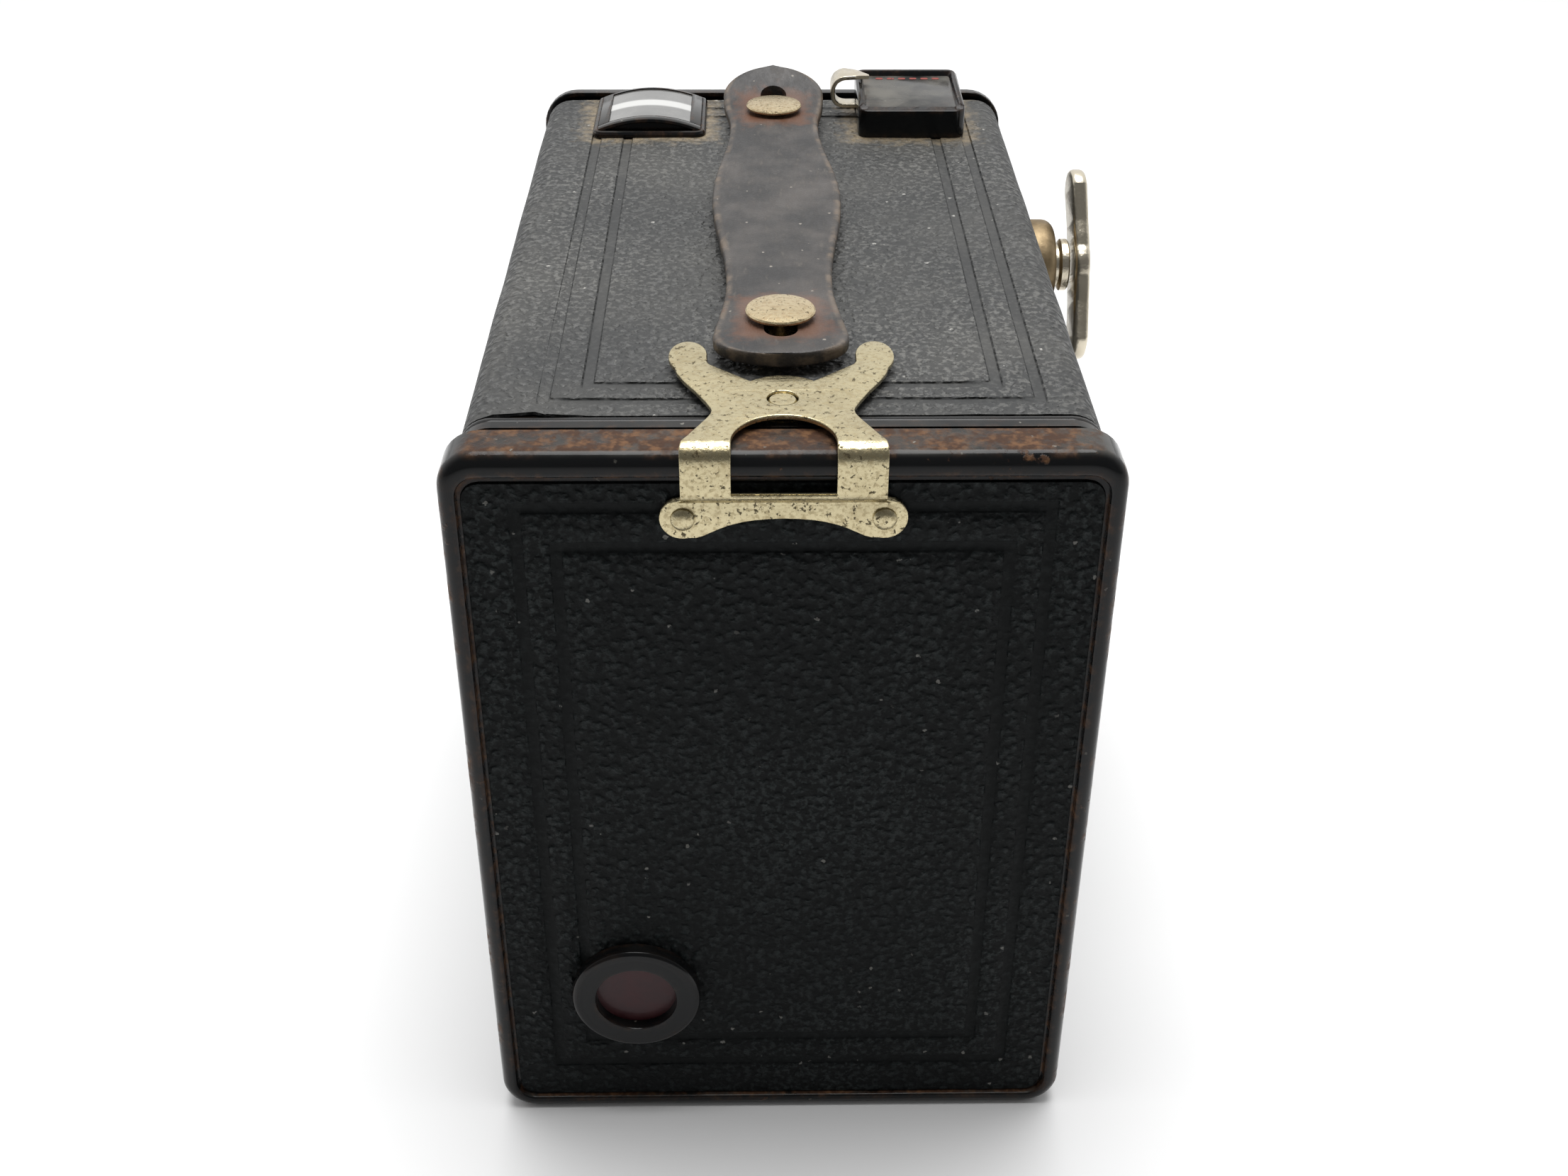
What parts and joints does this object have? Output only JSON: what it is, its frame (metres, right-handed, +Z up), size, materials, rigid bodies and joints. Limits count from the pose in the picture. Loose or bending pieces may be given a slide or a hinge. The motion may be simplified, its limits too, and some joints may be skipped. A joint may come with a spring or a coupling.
{
  "type": "box camera",
  "caption": "Box camera for roll film: leatherette body, hinged back with red window, spring latch, carrying strap, winding key, waist-level finders and swing-in close-up lens.",
  "frame": {"origin": "centre of the footprint, on the surface it stands on", "axes": "+X towards the winding key, +Y the way the lens looks, +Z up; the hinged back faces -Y"},
  "size_m": [0.0926, 0.1378, 0.119],
  "materials": {
    "black_enamel": "glossy black stoving enamel, rusty at worn edges",
    "leatherette": "pebble-grained black leatherette",
    "strap_leather": "smooth dark brown leather, worn",
    "nickel": "tarnished nickel plate",
    "brass": "dull brass",
    "inner_black": "matt black inside paint",
    "bare_steel": "plain bright steel",
    "lens_glass": "clear optical glass",
    "finder_glass": "greyed viewing glass",
    "mirror": "silvered glass",
    "ruby_celluloid": "dark red celluloid",
    "spool_wood": "varnished beech core with tinned flanges",
    "label_black": "satin black plate with a red mark"
  },
  "bodies": {
    "camera": {"body_shell": "black_enamel", "body_leatherette": "leatherette", "light_trap_sleeve": "inner_black", "front_collar": "inner_black", "front_plate": "black_enamel", "plate_screws": "nickel", "lens_bezel": "black_enamel", "portrait_housing": "black_enamel", "label_plate": "label_black", "portrait_pivot": "inner_black", "shutter_board": "inner_black", "shutter_pins": "bare_steel", "shutter_spring": "bare_steel", "lens_cell": "brass", "main_lens": "lens_glass", "lens_retaining_ring": "brass", "carriage_cone": "inner_black", "film_gate": "inner_black", "carriage_sides": "inner_black", "spool_pins": "bare_steel", "spool_springs": "bare_steel", "key_boss": "brass", "body_hinge_leaf": "bare_steel", "hinge_pin": "bare_steel", "latch_stud": "nickel", "tripod_bushes": "brass", "strap_rear_eye": "strap_leather", "strap_studs": "nickel", "top_finder_frame": "black_enamel", "side_finder_frame": "black_enamel", "finder_glasses": "finder_glass", "finder_boxes": "inner_black", "finder_mirrors": "mirror", "objective_bezels": "nickel", "objective_lenses": "lens_glass"},
    "door": {"door_shell": "black_enamel", "door_leatherette": "leatherette", "window_bezel": "black_enamel", "window_celluloid": "ruby_celluloid", "door_hinge_leaf": "bare_steel", "latch_bracket": "nickel", "latch_rivets": "nickel"},
    "latch": {"latch_plate": "nickel"},
    "strap_rear": {"strap_rear_half": "strap_leather"},
    "strap_front": {"strap_front_half": "strap_leather"},
    "strap_eye": {"strap_front_eye": "strap_leather"},
    "key_draw": {"key_collar": "nickel"},
    "key": {"winding_key": "nickel", "winding_shaft": "bare_steel"},
    "take_up": {"take_up_spool": "spool_wood"},
    "supply": {"supply_spool": "spool_wood"},
    "roller_upper": {"upper_roller": "bare_steel"},
    "roller_lower": {"lower_roller": "bare_steel"},
    "portrait": {"portrait_lever": "nickel", "portrait_lens_ring": "brass", "portrait_lens": "lens_glass"},
    "release": {"release_lever": "nickel"},
    "blade": {"shutter_blade": "inner_black"},
    "time": {"time_slide": "nickel"},
    "aperture": {"aperture_strip": "nickel"}
  },
  "joints": [
    {"name": "door_hinge", "type": "hinge", "parent": "camera", "child": "door", "pos_m": [0, -0.0587, 0.0016], "axis": [1, 0, 0], "range_deg": [0, 90]},
    {"name": "latch_lift", "type": "hinge", "parent": "door", "child": "latch", "pos_m": [0, -0.0676, 0.1134], "axis": [1, 0, 0], "range_deg": [0, 12], "stiffness_Nm_per_rad": 0.05, "springref_deg": -2.86},
    {"name": "strap_lift", "type": "hinge", "parent": "camera", "child": "strap_rear", "pos_m": [0, -0.03, 0.1144], "axis": [1, 0, 0], "range_deg": [0, 22]},
    {"name": "strap_fold", "type": "hinge", "parent": "strap_rear", "child": "strap_front", "pos_m": [0, 0.0058, 0.1144], "axis": [1, 0, 0], "range_deg": [-44, 0]},
    {"name": "strap_level", "type": "hinge", "parent": "strap_front", "child": "strap_eye", "pos_m": [0, 0.0416, 0.1144], "axis": [1, 0, 0], "range_deg": [0, 22]},
    {"name": "key_pull", "type": "slide", "parent": "camera", "child": "key_draw", "axis": [1, 0, 0], "range_m": [0, 0.0046]},
    {"name": "key_turn", "type": "hinge", "parent": "key_draw", "child": "key", "pos_m": [0, 0.024, 0.0972], "axis": [1, 0, 0], "continuous": true},
    {"name": "take_up_turn", "type": "hinge", "parent": "camera", "child": "take_up", "pos_m": [0, 0.024, 0.0972], "axis": [1, 0, 0], "continuous": true},
    {"name": "supply_turn", "type": "hinge", "parent": "camera", "child": "supply", "pos_m": [0, 0.024, 0.0148], "axis": [1, 0, 0], "continuous": true},
    {"name": "upper_roller_turn", "type": "hinge", "parent": "camera", "child": "roller_upper", "pos_m": [0, -0.0516, 0.1046], "axis": [1, 0, 0], "continuous": true},
    {"name": "lower_roller_turn", "type": "hinge", "parent": "camera", "child": "roller_lower", "pos_m": [0, -0.0516, 0.0074], "axis": [1, 0, 0], "continuous": true},
    {"name": "portrait_swing", "type": "hinge", "parent": "camera", "child": "portrait", "pos_m": [0.014, 0.058, 0.104], "axis": [0, 1, 0], "range_deg": [0, 13.5]},
    {"name": "release_press", "type": "hinge", "parent": "camera", "child": "release", "pos_m": [0.024, 0.0551, 0.034], "axis": [0, 1, 0], "range_deg": [0, 16], "stiffness_Nm_per_rad": 0.02, "springref_deg": -17.19},
    {"name": "shutter_turn", "type": "hinge", "parent": "camera", "child": "blade", "pos_m": [0, 0.0536, 0.034], "axis": [0, 1, 0], "range_deg": [-56, 0]},
    {"name": "time_pull", "type": "slide", "parent": "camera", "child": "time", "axis": [1, 0, 0], "range_m": [0, 0.004]},
    {"name": "aperture_pull", "type": "slide", "parent": "camera", "child": "aperture", "axis": [1, 0, 0], "range_m": [0, 0.012]}
  ],
  "couplings": [
    {"joint": "strap_fold", "follows": "strap_lift", "ratio": -2},
    {"joint": "strap_level", "follows": "strap_lift", "ratio": 1},
    {"joint": "take_up_turn", "follows": "key_turn", "ratio": 1},
    {"joint": "shutter_turn", "follows": "release_press", "ratio": -3.5}
  ]
}
